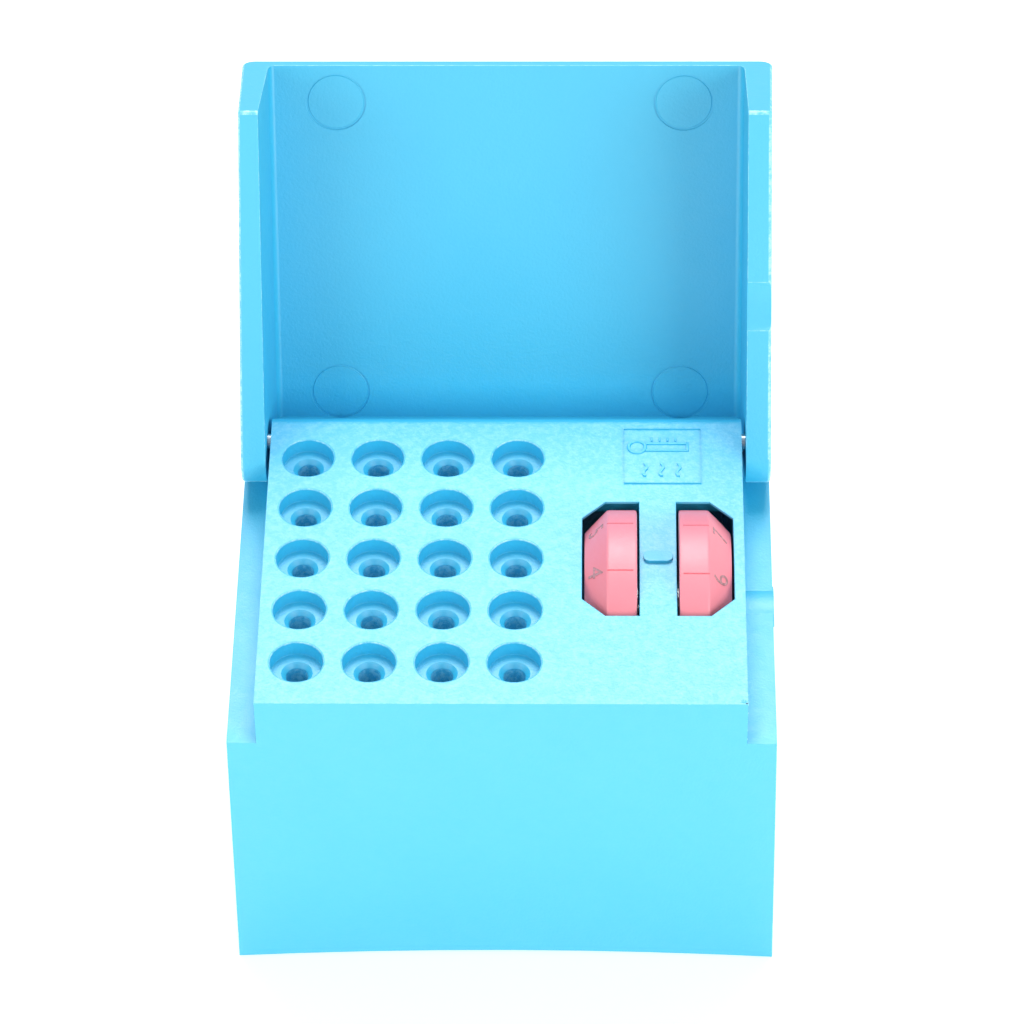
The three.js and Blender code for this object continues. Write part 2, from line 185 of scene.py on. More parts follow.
class BaseSettings(bpy.types.PropertyGroup):
    half_width: length("Half Width", "Half the width of the base at the ledges", 0.0303)
    block_half_width: length("Block Half Width", "Half the width of the raised block", 0.027)
    ledge_height: length("Ledge Height", "Height of the ledges beside the block", 0.0362)
    edge_radius: length("Edge Radius", "Rounding of the outer edges", 0.00035)
    front_sink: length(
        "Front Sink", "How far the middle of the lower front edge is drawn in by shrinkage", 0.0007
    )
    seat_radius: length("Seat Radius", "Radius of the flat-bottomed seat round each hole", 0.00295)
    seat_depth: length("Seat Depth", "Depth of the seat", 0.0019)
    cone_radius: length("Cone Radius", "Radius of the short cone at the seat's floor", 0.00172)
    bore_radius: length("Bore Radius", "Radius of the bore that holds a shank", 0.001225)


class LidSettings(bpy.types.PropertyGroup):
    open_angle: turn_angle("Open Angle", "How far the lid stands open from shut", math.radians(110.0))
    wall: length("Side Wall", "Thickness of the two side walls", 0.00285)
    plate: length("Plate", "Thickness of the top plate", 0.0017)
    edge_radius: length("Edge Radius", "Rounding of the outer edges", 0.0004)
    corner_fillet: length("Corner Fillet", "Rounding inside, where the walls meet the plate", 0.0011)


class WheelSettings(bpy.types.PropertyGroup):
    slope: length("Number Slope", "Width of the slope that carries the numerals", 0.0026)
    numeral_height: length("Numeral Height", "Height of a numeral", 0.0023)
    left_first_angle: turn_angle(
        "Left Wheel Setting",
        "Angle of numeral 4 on the left wheel, from upright, towards the back",
        math.radians(-20.0),
    )
    right_first_angle: turn_angle(
        "Right Wheel Setting",
        "Angle of numeral 6 on the right wheel, from upright, towards the back",
        math.radians(-22.0),
    )


# ---- mesh helpers ----


def prism(outline, axis, start, end):
    """A closed solid from an outline of a few points, pushed from start to end along an axis."""
    bm = bmesh.new()
    places = {
        "X": lambda u, v: (start, u, v),
        "Y": lambda u, v: (u, start, v),
        "Z": lambda u, v: (u, v, start),
    }
    corners = [bm.verts.new(places[axis](u, v)) for u, v in outline]
    face = bm.faces.new(corners)
    pushed = bmesh.ops.extrude_face_region(bm, geom=[face])
    step = {"X": (end - start, 0, 0), "Y": (0, end - start, 0), "Z": (0, 0, end - start)}
    bmesh.ops.translate(bm, vec=step[axis], verts=moved_corners(pushed))
    bmesh.ops.recalc_face_normals(bm, faces=bm.faces)
    return bm


def block(low, high):
    """A plain box between two corners, used to add to or cut other shapes."""
    outline = [(low[0], low[1]), (high[0], low[1]), (high[0], high[1]), (low[0], high[1])]
    return prism(outline, "Z", low[2], high[2])


def turned(outline, axis, centre, steps):
    """A solid of revolution from (radius, along) points about an axis through a centre."""
    bm = bmesh.new()
    places = {"X": lambda r, s: (s, 0, r), "Z": lambda r, s: (r, 0, s)}
    spokes = {"X": (1, 0, 0), "Z": (0, 0, 1)}
    points = [bm.verts.new(places[axis](r, s)) for r, s in outline]
    edges = [bm.edges.new(pair) for pair in zip(points, points[1:])]
    if outline[0][0] > 0:
        edges.append(bm.edges.new((points[-1], points[0])))
    bmesh.ops.spin(
        bm,
        geom=points + edges,
        cent=(0, 0, 0),
        axis=spokes[axis],
        angle=math.tau,
        steps=steps,
        use_merge=True,
    )
    bmesh.ops.remove_doubles(bm, verts=bm.verts, dist=TOUCHING)
    flat = math.radians(0.3)
    bmesh.ops.dissolve_limit(bm, angle_limit=flat, verts=bm.verts, edges=bm.edges)
    bmesh.ops.recalc_face_normals(bm, faces=bm.faces)
    bmesh.ops.translate(bm, vec=centre, verts=bm.verts)
    return bm


def rod(radius, axis, start, end, u, v, steps=32):
    """A plain round bar, used to add to or cut other shapes."""
    outline = [(0, start), (radius, start), (radius, end), (0, end)]
    centre = {"X": (0, u, v), "Z": (u, v, 0)}
    return turned(outline, axis, centre[axis], steps)


def trim(bm, height, **side):
    """Cuts a solid level at a height, drops one side of it and closes the cut."""
    cut = bmesh.ops.bisect_plane(
        bm,
        geom=bm.verts[:] + bm.edges[:] + bm.faces[:],
        dist=TOUCHING,
        plane_co=(0, 0, height),
        plane_no=(0, 0, 1),
        **side,
    )
    rim = [part for part in cut["geom_cut"] if isinstance(part, bmesh.types.BMEdge)]
    bmesh.ops.contextual_create(bm, geom=rim)
    bmesh.ops.recalc_face_normals(bm, faces=bm.faces)


def moved_corners(pushed):
    """The new corners of an extrusion."""
    return [part for part in pushed["geom"] if isinstance(part, bmesh.types.BMVert)]


def gather(parts):
    """Brings several meshes that don't touch into one, and frees them."""
    whole = bmesh.new()
    for part in parts:
        step = bpy.data.meshes.new("step")
        part.to_mesh(step)
        part.free()
        whole.from_mesh(step)
        bpy.data.meshes.remove(step)
    return whole


def combine(body, tool, operation):
    """Joins a tool to a body or cuts it out, and returns the result as a new mesh."""
    made = []
    for part in (body, tool):
        mesh = bpy.data.meshes.new("step")
        part.to_mesh(mesh)
        part.free()
        made.append(bpy.data.objects.new("step", mesh))
        bpy.context.scene.collection.objects.link(made[-1])
    change = made[0].modifiers.new("change", "BOOLEAN")
    change.object = made[1]
    change.operation = operation
    change.solver = "EXACT"
    graph = bpy.context.evaluated_depsgraph_get()
    result = bpy.data.meshes.new_from_object(made[0].evaluated_get(graph))
    whole = bmesh.new()
    whole.from_mesh(result)
    for thing in made:
        mesh = thing.data
        bpy.data.objects.remove(thing)
        bpy.data.meshes.remove(mesh)
    bpy.data.meshes.remove(result)
    if len(whole.faces) < 4:
        raise RuntimeError("A solid was lost while the shapes were being combined")
    return whole


def soften(bm, edges, radius, segments, clamp=True):
    """Rounds the given edges."""
    bmesh.ops.bevel(
        bm,
        geom=edges,
        offset=radius,
        offset_type="OFFSET",
        affect="EDGES",
        segments=segments,
        profile=0.5,
        material=-1,
        clamp_overlap=clamp,
    )


def edges_where(bm, test):
    """The edges of which both ends pass a test."""
    return [edge for edge in bm.edges if all(test(vert.co) for vert in edge.verts)]


def near(value, target, slack=0.01):
    """Whether a value lies at a target."""
    return abs(value - target) < slack


def sharp_edges(bm, angle):
    """The edges that turn by more than an angle."""
    return [edge for edge in bm.edges if edge.calc_face_angle(0.0) > math.radians(angle)]


def mark_painted_highlights(bm):
    """Notes the faces that get a painted highlight: the rounded edges fully, the deck's top faces less.
    """
    wear_and_highlight = bm.faces.layers.float.new("wear_and_highlight")
    for face in bm.faces:
        turning = [edge for edge in face.edges if edge.calc_face_angle(0.0) > math.radians(13)]
        narrow = face.calc_area() / max(edge.calc_length() for edge in face.edges) < NARROW_FACE
        if narrow and len(turning) > 1 and all(edge.is_convex for edge in turning):
            face[wear_and_highlight] = EDGE_HIGHLIGHT
        # The deck's top faces get a weaker painted highlight, as if they caught the light from above.
        elif face.normal.z > 0.98 and near(face.calc_center_median().z, DECK_HEIGHT, 0.2):
            face[wear_and_highlight] = DECK_HIGHLIGHT


def finish_piece(name, bm, material, body, nodes=(), highlighted=True):
    """Makes the finished object, hangs it on its body and hides the CAD nodes it stands for."""
    bmesh.ops.remove_doubles(bm, verts=bm.verts, dist=TOUCHING)
    for face in bm.faces:
        face.smooth = True
    for edge in bm.edges:
        edge.smooth = edge.calc_face_angle(0.0) < SMOOTH_ANGLE
    # Marks the faces that the material paints paler as a highlight.
    if highlighted:
        mark_painted_highlights(bm)
    bmesh.ops.scale(bm, vec=(1 / MM, 1 / MM, 1 / MM), verts=bm.verts)
    mesh = bpy.data.meshes.new(name)
    bm.to_mesh(mesh)
    bm.free()
    mesh.materials.append(material)
    piece = bpy.data.objects.new(name, mesh)
    bpy.context.scene.collection.objects.link(piece)
    weighted = piece.modifiers.new("face_weighted_shading", "WEIGHTED_NORMAL")
    weighted.keep_sharp = True
    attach(piece, body)
    if nodes:
        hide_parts(*nodes)


# ---- materials ----


def start_material(name):
    """A new material with its nodes, their links and its shader."""
    material = bpy.data.materials.new(name)
    material.use_nodes = True
    nodes = material.node_tree.nodes
    shader = next(node for node in nodes if node.type == "BSDF_PRINCIPLED")
    return material, nodes, material.node_tree.links, shader


def add_noise(nodes, links, coordinates, scale, detail, roughness):
    """A noise that stands still on the piece."""
    noise = nodes.new("ShaderNodeTexNoise")
    noise.inputs["Scale"].default_value = scale
    noise.inputs["Detail"].default_value = detail
    noise.inputs["Roughness"].default_value = roughness
    links.new(coordinates.outputs["Object"], noise.inputs["Vector"])
    return noise


def add_range(nodes, links, source, low, high, start=0.3, end=0.7):
    """Brings a value from start..end to low..high."""
    spread = nodes.new("ShaderNodeMapRange")
    spread.inputs["From Min"].default_value = start
    spread.inputs["From Max"].default_value = end
    spread.inputs["To Min"].default_value = low
    spread.inputs["To Max"].default_value = high
    links.new(source, spread.inputs["Value"])
    return spread


def add_ramp(nodes, links, source, first, second, start=0.0, end=1.0):
    """Runs from the first colour to the second as a value goes from start to end."""
    ramp = nodes.new("ShaderNodeValToRGB")
    elements = ramp.color_ramp.elements
    elements[0].position = start
    elements[0].color = (*first, 1.0)
    elements[1].position = end
    elements[1].color = (*second, 1.0)
    links.new(source, ramp.inputs["Fac"])
    return ramp


def moulded_plastic(name, base_colour, tint, paler, roughness, grain_size, grain_depth, specular):
    """Satin moulded plastic: a cloudy colour, a painted highlight on the marked faces, patchy gloss and
    a fine spark texture.
    """
    material, nodes, links, shader = start_material(name)
    coordinates = nodes.new("ShaderNodeTexCoord")
    cloud = add_noise(nodes, links, coordinates, 90.0, 3.0, 0.6)
    ramp = add_ramp(nodes, links, cloud.outputs["Fac"], base_colour, tint, 0.35, 0.68)
    # Paints the pale colour on the marked faces as a highlight, speckled by fine noise.
    highlighted = nodes.new("ShaderNodeAttribute")
    highlighted.attribute_name = "wear_and_highlight"
    highlight_speckle = add_noise(nodes, links, coordinates, 1400.0, 4.0, 0.75)
    speckled_highlight = add_range(nodes, links, highlight_speckle.outputs["Fac"], 0.12, 0.75, 0.42, 0.62)
    amount = nodes.new("ShaderNodeMath")
    amount.operation = "MULTIPLY"
    links.new(highlighted.outputs["Fac"], amount.inputs[0])
    links.new(speckled_highlight.outputs["Result"], amount.inputs[1])
    mix = nodes.new("ShaderNodeMix")
    mix.data_type = "RGBA"
    mix.inputs["B"].default_value = (*paler, 1.0)
    links.new(amount.outputs["Value"], mix.inputs["Factor"])
    links.new(ramp.outputs["Color"], mix.inputs["A"])
    links.new(mix.outputs["Result"], shader.inputs["Base Color"])
    patch = add_noise(nodes, links, coordinates, 700.0, 2.0, 0.5)
    gloss = add_range(nodes, links, patch.outputs["Fac"], roughness - 0.03, roughness + 0.03)
    links.new(gloss.outputs["Result"], shader.inputs["Roughness"])
    grain = add_noise(nodes, links, coordinates, 1.0 / grain_size, 2.0, 0.6)
    bump = nodes.new("ShaderNodeBump")
    bump.inputs["Strength"].default_value = 1.0
    bump.inputs["Distance"].default_value = grain_depth
    links.new(grain.outputs["Fac"], bump.inputs["Height"])
    links.new(bump.outputs["Normal"], shader.inputs["Normal"])
    shader.inputs["IOR"].default_value = 1.65
    shader.inputs["Specular IOR Level"].default_value = specular
    return material


def printed_numeral(ink):
    """Thin numeral ink, a little worn so that its colour thins in places."""
    material, nodes, links, shader = start_material("numeral_ink")
    coordinates = nodes.new("ShaderNodeTexCoord")
    wear_and_highlight = add_noise(nodes, links, coordinates, 2500.0, 3.0, 0.7)
    ramp = add_ramp(nodes, links, wear_and_highlight.outputs["Fac"], ink, (0.62, 0.30, 0.34), 0.38, 0.66)
    links.new(ramp.outputs["Color"], shader.inputs["Base Color"])
    shader.inputs["Roughness"].default_value = 0.6
    return material


def drawn_steel(bright):
    """Bright drawn steel with fine lines round the pins."""
    material, nodes, links, shader = start_material("drawn_steel")
    coordinates = nodes.new("ShaderNodeTexCoord")
    stretch = nodes.new("ShaderNodeMapping")
    stretch.inputs["Scale"].default_value = (1.0, 12.0, 12.0)
    links.new(coordinates.outputs["Object"], stretch.inputs["Vector"])
    lines = nodes.new("ShaderNodeTexNoise")
    lines.inputs["Scale"].default_value = 900.0
    lines.inputs["Detail"].default_value = 3.0
    links.new(stretch.outputs["Vector"], lines.inputs["Vector"])
    darker = [0.85 * part for part in bright]
    ramp = add_ramp(nodes, links, lines.outputs["Fac"], darker, bright, 0.3, 0.7)
    links.new(ramp.outputs["Color"], shader.inputs["Base Color"])
    gloss = add_range(nodes, links, lines.outputs["Fac"], 0.22, 0.38)
    links.new(gloss.outputs["Result"], shader.inputs["Roughness"])
    shader.inputs["Metallic"].default_value = 1.0
    return material


def shell_plastic():
    """The shell's plastic, made once and shared by every blue moulding."""
    found = bpy.data.materials.get("shell_plastic")
    if found:
        return found
    plastic = bpy.context.scene.block_plastic
    return moulded_plastic(
        "shell_plastic",
        plastic.shell_colour,
        plastic.shell_tint,
        plastic.highlight_colour,
        0.5,
        plastic.grain_size,
        plastic.grain_depth,
        1.0,
    )


# ---- pieces ----


class BLOCK_OT_stage(bpy.types.Operator):
    """Sets up the camera, the pale floor and the soft light"""

    bl_idname = "object.block_stage"
    bl_label = "Stage"

    aim_height = 0.035
    floor_gap = 0.0002

    def execute(self, context):
        stage = context.scene.block_stage
        camera_data = bpy.data.cameras.new("camera")
        camera_data.lens = stage.lens
        camera_data.sensor_width = 36.0
        camera_data.clip_start = 0.01
        camera_data.clip_end = 20.0
        camera = bpy.data.objects.new("camera", camera_data)
        turn = Matrix.Rotation(stage.heading, 4, "Z")
        tilt = Matrix.Rotation(math.pi / 2 - stage.elevation, 4, "X")
        roll = Matrix.Rotation(stage.roll, 4, "Z")
        camera.matrix_world = Matrix.Translation(stage.position) @ turn @ tilt @ roll
        context.scene.collection.objects.link(camera)
        context.scene.camera = camera

        bm = bmesh.new()
        bmesh.ops.create_grid(bm, x_segments=8, y_segments=8, size=stage.floor_size / 2)
        bmesh.ops.translate(bm, vec=(0, 0, -self.floor_gap), verts=bm.verts)
        mesh = bpy.data.meshes.new("floor")
        bm.to_mesh(mesh)
        bm.free()
        mesh.materials.append(self.floor_paper(stage.floor_colour))
        floor = bpy.data.objects.new("floor", mesh)
        context.scene.collection.objects.link(floor)

        aim = Vector((0.0, 0.0, self.aim_height))
        lamps = (
            ("key_lamp", stage.key_light, 0.7, (0.8, -0.75, 0.56)),
            ("fill_lamp", stage.fill_light, 0.7, (-0.8, -0.75, 0.56)),
            ("back_lamp", stage.back_light, 0.48, (0.0, 0.42, 0.84)),
        )
        for name, energy, size, place in lamps:
            self.add_lamp(context, name, energy, size, Vector(place), aim)

        world = bpy.data.worlds.new("room")
        world.use_nodes = True
        background = world.node_tree.nodes["Background"]
        background.inputs["Color"].default_value = (1.0, 1.0, 1.0, 1.0)
        background.inputs["Strength"].default_value = stage.room_light
        context.scene.world = world
        context.scene.view_settings.view_transform = "Standard"
        return {"FINISHED"}

    def add_lamp(self, context, name, energy, size, place, aim):
        """A square lamp that faces the block."""
        lamp_data = bpy.data.lights.new(name, "AREA")
        lamp_data.shape = "SQUARE"
        lamp_data.size = size
        lamp_data.energy = energy
        lamp = bpy.data.objects.new(name, lamp_data)
        facing = (aim - place).to_track_quat("-Z", "Y").to_matrix().to_4x4()
        lamp.matrix_world = Matrix.Translation(place) @ facing
        context.scene.collection.objects.link(lamp)

    def floor_paper(self, paper):
        """Pale paper that glows a little, so that it stays white round the block."""
        material, nodes, links, shader = start_material("floor_paper")
        coordinates = nodes.new("ShaderNodeTexCoord")
        fibre = add_noise(nodes, links, coordinates, 400.0, 3.0, 0.6)
        greyer = [0.985 * part for part in paper]
        ramp = add_ramp(nodes, links, fibre.outputs["Fac"], greyer, paper)
        links.new(ramp.outputs["Color"], shader.inputs["Base Color"])
        shader.inputs["Roughness"].default_value = 0.9
        shader.inputs["Emission Color"].default_value = (1.0, 1.0, 1.0, 1.0)
        shader.inputs["Emission Strength"].default_value = 0.3
        return material


class BLOCK_OT_base(bpy.types.Operator):
    """Builds the moulded base with its seated holes, windows and raised marks"""

    bl_idname = "object.block_base"
    bl_label = "Base"

    hole_columns = 4
    hole_rows = 5
    hole_pitch = 8.0
    first_hole = (-22.6, -16.7)
    deck_thickness = 3.0
    end_wall = 2.4
    side_wall = 2.1
    block_wall = 1.3
    shelf_thickness = 2.4
    foot_spread = 0.3
    sleeve_radius = 2.4
    sleeve_bottom = 18.6
    roots = 40.2
    window_half_width = 3.2
    window_half_length = 8.9
    window_corner = 2.6
    window_lip = 0.3
    symbol_place = (17.9, 15.5)
    symbol_rise = 0.18

    def execute(self, context):
        base = context.scene.block_base
        self.ledge = base.ledge_height * MM
        self.half = base.half_width * MM
        self.block_half = base.block_half_width * MM
        shell = self.outside(base)
        shell = combine(shell, self.bump_bar(), "UNION")
        shell = combine(shell, self.hollow(), "DIFFERENCE")
        shell = combine(shell, self.inner_parts(), "UNION")
        shell = combine(shell, self.openings(base), "DIFFERENCE")
        shell = combine(shell, self.wheel_rooms(), "DIFFERENCE")
        shell = combine(shell, self.window_recesses(), "DIFFERENCE")
        finish_piece(
            "base_shell", shell, shell_plastic(), "base", ["base_body"]
        )
        self.raised_marks()
        self.corner_flash()
        return {"FINISHED"}

    def outside(self, base):
        """The wide lower part with the narrower block on it, rounded and slightly sunk."""
        foot = self.half + self.foot_spread
        outline = [
            (-foot, 0.0),
            (foot, 0.0),
            (self.half, self.ledge),
            (self.block_half, self.ledge),
            (self.block_half, DECK_HEIGHT),
            (-self.block_half, DECK_HEIGHT),
            (-self.block_half, self.ledge),
            (-self.half, self.ledge),
        ]
        bm = prism(outline, "Y", -BASE_BACK, BASE_BACK)
        back_deck = edges_where(bm, lambda p: near(p.z, DECK_HEIGHT) and near(p.y, BASE_BACK))
        soften(bm, back_deck, 2.2, 8)
        back_ledges = edges_where(bm, lambda p: near(p.z, self.ledge) and near(p.y, BASE_BACK))
        soften(bm, back_ledges, 1.1, 5)
        sides = edges_where(bm, lambda p: abs(p.x) > self.half - 0.1 and p.z < self.ledge + 0.1)
        uprights = [edge for edge in sides if abs(edge.verts[0].co.z - edge.verts[1].co.z) > 20]
        soften(bm, uprights, 0.9, 5)
        outer = [edge for edge in sharp_edges(bm, 50) if edge.is_convex or edge.calc_length() < 6]
        soften(bm, outer, base.edge_radius * MM, 3)
        for x in range(-24, 25, 8):
            self.slice(bm, (x + 0.35, 0, 0), (1, 0, 0))
        for z in (6, 12, 18, 24, 30):
            self.slice(bm, (0, 0, z), (0, 0, 1))
        sink = base.front_sink * MM
        for vert in bm.verts:
            across = max(0.0, 1.0 - (vert.co.x / (self.half + 0.4)) ** 2)
            down = max(0.0, 1.0 - vert.co.z / 34.0)
            pull = sink * across * down**1.6
            vert.co.y -= math.copysign(pull, vert.co.y) * (abs(vert.co.y) / BASE_BACK) ** 4
            vert.co.z += 0.25 * across * down**4
        return bm

    def slice(self, bm, place, normal):
        """Adds a ring of edges where a plane meets the mesh."""
        geometry = bm.verts[:] + bm.edges[:] + bm.faces[:]
        bmesh.ops.bisect_plane(bm, geom=geometry, dist=TOUCHING, plane_co=place, plane_no=normal)

    def bump_bar(self):
        """The low rounded bump across the right ledge that the lid clicks over."""
        rise = 0.33
        half_length = 1.85
        radius = (half_length**2 + rise**2) / (2 * rise)
        middle = self.ledge + rise - radius
        bar = rod(radius, "X", self.block_half - 0.6, self.half + 0.12, -1.4, middle, 96)
        trim(bar, self.ledge - 0.7, clear_inner=True)
        return bar

    def hollow(self):
        """The room inside, wide below and narrow in the block."""
        low_half = self.half - self.side_wall
        high_half = self.block_half - self.block_wall
        shelf = self.ledge - self.shelf_thickness
        under = DECK_HEIGHT - self.deck_thickness
        outline = [
            (-low_half, -1.0),
            (low_half, -1.0),
            (low_half, shelf),
            (high_half, shelf),
            (high_half, under),
            (-high_half, under),
            (-high_half, shelf),
            (-low_half, shelf),
        ]
        reach = BASE_BACK - self.end_wall
        return prism(outline, "Y", -reach, reach)

    def holes(self):
        """The place of each hole on the deck."""
        for row in range(self.hole_rows):
            for column in range(self.hole_columns):
                yield (
                    self.first_hole[0] + column * self.hole_pitch,
                    self.first_hole[1] + row * self.hole_pitch,
                )

    def inner_parts(self):
        """The sleeves under the holes, the axle's rib and the posts that stop the cover."""
        sleeve = (self.sleeve_radius, "Z", self.sleeve_bottom, self.roots)
        parts = [rod(*sleeve, x, y, 24) for x, y in self.holes()]
        rib_low = (WEB_MIDDLE_X - 1.7, WHEEL_Y - 4.5, WHEEL_Z - 4.3)
        parts.append(block(rib_low, (WEB_MIDDLE_X + 1.7, WHEEL_Y + 4.5, self.roots)))
        for side_x in (-1, 1):
            for side_y in (-1, 1):
                xs = sorted((side_x * (self.half - 1.9), side_x * (self.half - 5.3)))
                ys = sorted((side_y * (BASE_BACK - 2.2), side_y * (BASE_BACK - 5.6)))
                parts.append(block((xs[0], ys[0], cover_high.z - 3.7), (xs[1], ys[1], self.ledge - 1.4)))
        return gather(parts)

    def openings(self, base):
        """Cutters for the seated holes, the two windows and the holes for the pins and the axle."""
        seat = base.seat_radius * MM
        floor = -base.seat_depth * MM
        cone = base.cone_radius * MM
        bore = base.bore_radius * MM
        outline = [
            (0, -25),
            (bore, -25),
            (bore, floor - (cone - bore) - 0.06),
            (bore + 0.04, floor - (cone - bore)),
            (cone - 0.05, floor - 0.06),
            (cone + 0.03, floor),
            (seat - 0.16, floor),
            (seat - 0.05, floor + 0.05),
            (seat, floor + 0.16),
            (seat, -0.2),
            (seat + 0.03, -0.09),
            (seat + 0.1, -0.025),
            (seat + 0.22, 0.0),
            (seat + 0.22, 1.0),
            (0, 1.0),
        ]
        cutters = [turned(outline, "Z", (x, y, DECK_HEIGHT), 48) for x, y in self.holes()]
        cutters += [self.window(-1), self.window(1)]
        for side in (-1, 1):
            start, end = sorted((side * 22.7, side * 40.0))
            cutters.append(rod(0.95, "X", start, end, PIN_Y, PIN_Z, 32))
        start, end = WEB_MIDDLE_X - 1.9, WEB_MIDDLE_X + 1.9
        cutters.append(rod(1.05, "X", start, end, WHEEL_Y, WHEEL_Z, 32))
        return gather(cutters)

    def window(self, side):
        """A window with its two outer corners cut off and a softened rim."""
        centre = LEFT_WHEEL_X if side < 0 else RIGHT_WHEEL_X
        half_x = self.window_half_width
        half_y = self.window_half_length
        corner = self.window_corner
        outline = [
            (-half_x, -half_y),
            (half_x - corner, -half_y),
            (half_x, -half_y + corner),
            (half_x, half_y - corner),
            (half_x - corner, half_y),
            (-half_x, half_y),
        ]
        bm = prism(outline, "Z", -4.0, -0.12)
        top = [face for face in bm.faces if near(face.calc_center_median().z, -0.12)]
        for rise, spread in ((0.09, 0.03), (0.03, 0.07), (1.0, 0.0)):
            pushed = bmesh.ops.extrude_face_region(bm, geom=top)
            moved = moved_corners(pushed)
            bmesh.ops.translate(bm, vec=(0, 0, rise), verts=moved)
            grow = ((half_x + spread) / half_x, (half_y + spread) / half_y, 1)
            bmesh.ops.scale(bm, vec=grow, verts=moved)
            bmesh.ops.delete(bm, geom=top, context="FACES_ONLY")
            top = [part for part in pushed["geom"] if isinstance(part, bmesh.types.BMFace)]
        if side < 0:
            bmesh.ops.scale(bm, vec=(-1, 1, 1), verts=bm.verts)
        bmesh.ops.remove_doubles(bm, verts=bm.verts, dist=TOUCHING)
        bmesh.ops.recalc_face_normals(bm, faces=bm.faces)
        bmesh.ops.translate(bm, vec=(centre, WHEEL_Y, DECK_HEIGHT), verts=bm.verts)
        return bm

    def wheel_rooms(self):
        """The round room under each window, kept below a thin skin of the deck."""
        rooms = []
        for centre in (LEFT_WHEEL_X, RIGHT_WHEEL_X):
            start = centre - self.window_half_width
            end = centre + self.window_half_width
            room = rod(WHEEL_RADIUS + 0.35, "X", start, end, WHEEL_Y, WHEEL_Z, 96)
            trim(room, DECK_HEIGHT - 0.9, clear_outer=True)
            rooms.append(room)
        return gather(rooms)

    def window_recesses(self):
        """The deeper recess behind each window's rim, which leaves only a thin lip round it."""
        half_x = self.window_half_width
        half_y = self.window_half_length + 1.5
        high = DECK_HEIGHT - self.window_lip
        recesses = []
        for centre in (LEFT_WHEEL_X, RIGHT_WHEEL_X):
            start = (centre - half_x, WHEEL_Y - half_y, WHEEL_Z + 2)
            recesses.append(block(start, (centre + half_x, WHEEL_Y + half_y, high)))
        return gather(recesses)

    def raised_marks(self):
        """The reading mark on the web, and the steam symbol behind the windows."""
        mark = self.pad(3.3, 1.6, 0.7, 0.42)
        bmesh.ops.translate(mark, vec=(WEB_MIDDLE_X, WHEEL_Y, DECK_HEIGHT), verts=mark.verts)
        self.finish_mark("reading_mark", mark)

        rise = self.symbol_rise
        waves = [self.wave(x, -2.2, 2.0, 0.4, 0.34, rise) for x in (-2.0, -0.1, 1.8)]
        symbol = gather([self.frame_ring(8.8, 0.42, 0.2)] + waves + self.thermometer(rise))
        bmesh.ops.translate(symbol, vec=(*self.symbol_place, DECK_HEIGHT), verts=symbol.verts)
        self.finish_mark("steam_symbol", symbol)

    def finish_mark(self, name, bm):
        finish_piece(name, bm, shell_plastic(), "base", highlighted=False)

    def thermometer(self, rise):
        """The outline of a lying thermometer: a tube with an end, four ticks and a round bulb."""
        pads = [(0.45, 2.1, 4.8, 0.34, 0.15), (0.45, 1.0, 4.8, 0.34, 0.15)]
        pads.append((2.85, 1.55, 0.34, 1.44, 0.15))
        pads += [(x, 2.75, 0.26, 0.6, 0.1) for x in (-1.2, -0.3, 0.6, 1.5)]
        parts = []
        for x, y, width, depth, corner in pads:
            part = self.pad(width, depth, corner, rise)
            bmesh.ops.translate(part, vec=(x, y, 0), verts=part.verts)
            parts.append(part)
        inside, outside, shoulder = 0.75, 1.15, 0.08
        outline = [
            (inside, -MARK_ROOT),
            (outside, -MARK_ROOT),
            (outside, rise - shoulder),
            (outside - shoulder, rise),
            (inside + shoulder, rise),
            (inside, rise - shoulder),
        ]
        parts.append(turned(outline, "Z", (-2.9, 1.55, 0), 32))
        return parts

    def corner_flash(self):
        """A thin ragged line of flash down the block's right front corner, with a small curl."""
        line = 0.13
        rise = DECK_HEIGHT - self.ledge
        bm = bmesh.new()
        bmesh.ops.create_cone(
            bm, cap_ends=True, segments=8, radius1=line, radius2=line, depth=rise
        )
        for level in range(-14, 15):
            self.slice(bm, (0, 0, level * 0.22), (0, 0, 1))
        for vert in bm.verts:
            ragged = math.sin(vert.co.z * 9.1) * 0.05 + math.sin(vert.co.z * 4.3 + 1) * 0.06
            vert.co.x += ragged
            vert.co.y += ragged * 0.5 - 0.06 * max(0.0, vert.co.z - 2.2)
        place = (self.block_half - 0.15, -BASE_BACK + 0.2, (DECK_HEIGHT + self.ledge) / 2)
        bmesh.ops.translate(bm, vec=place, verts=bm.verts)
        curl = bmesh.new()
        bmesh.ops.create_icosphere(curl, subdivisions=3, radius=0.42)
        bmesh.ops.scale(curl, vec=(1.3, 0.8, 0.55), verts=curl.verts)
        for vert in curl.verts:
            vert.co *= 1 + 0.18 * math.sin(vert.co.x * 17) * math.cos(vert.co.y * 13)
        place = (self.block_half - 0.5, -BASE_BACK + 0.42, DECK_HEIGHT - 0.16)
        bmesh.ops.translate(curl, vec=place, verts=curl.verts)
        lump = curl.copy()
        shift = (-0.15, 0.1, 0.1 - rise)
        bmesh.ops.translate(lump, vec=shift, verts=lump.verts)
        parts = [bm, curl, lump]
        for part in parts:
            bmesh.ops.recalc_face_normals(part, faces=part.faces)
        finish_piece("corner_flash", gather(parts), shell_plastic(), "base")

    def pad(self, width, depth, corner, rise):
        """A small raised pad with rounded corners."""
        x = width / 2
        y = depth / 2
        bm = prism([(-x, -y), (x, -y), (x, y), (-x, y)], "Z", -MARK_ROOT, rise)
        uprights = [edge for edge in bm.edges if abs(edge.verts[0].co.z - edge.verts[1].co.z) > 0.1]
        soften(bm, uprights, min(corner, 0.45 * min(width, depth)), 5)
        rim = edges_where(bm, lambda p: near(p.z, rise))
        soften(bm, rim, 0.06, 2)
        return bm

